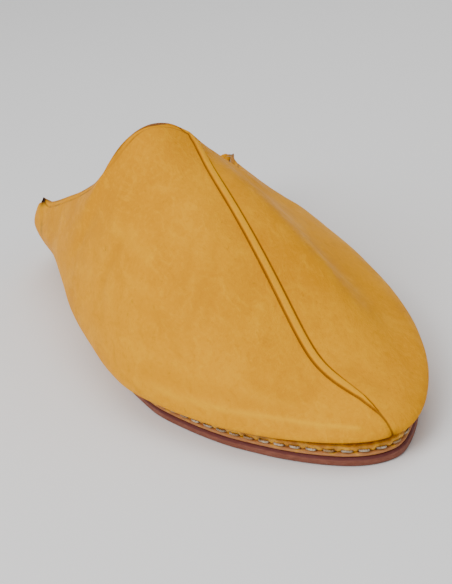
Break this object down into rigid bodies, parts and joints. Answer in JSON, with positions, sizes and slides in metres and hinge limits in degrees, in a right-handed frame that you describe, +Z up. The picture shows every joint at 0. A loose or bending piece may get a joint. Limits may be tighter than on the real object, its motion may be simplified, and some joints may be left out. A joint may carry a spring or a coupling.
{
  "type": "babouche slipper",
  "caption": "Backless leather slipper with a rounded point at the toe, a raised centre seam, small side ears and its heel folded down flat inside.",
  "frame": {"origin": "on the floor under the middle of the slipper's box", "axes": "+X towards the toe, +Y to the slipper's left side (the inner side of a right foot), +Z up"},
  "size_m": [0.2804, 0.1176, 0.093],
  "materials": {
    "red_leather": "matt, raw edge",
    "tan_leather": "matt, raw edge",
    "rand_leather": "satin",
    "ochre_leather": "soft satin with fine grain",
    "pale_leather": "matt"
  },
  "bodies": {
    "root": {"outsole": "red_leather", "midsole": "tan_leather", "rand": "rand_leather", "upper": "ochre_leather", "insole": "pale_leather"}
  },
  "joints": []
}
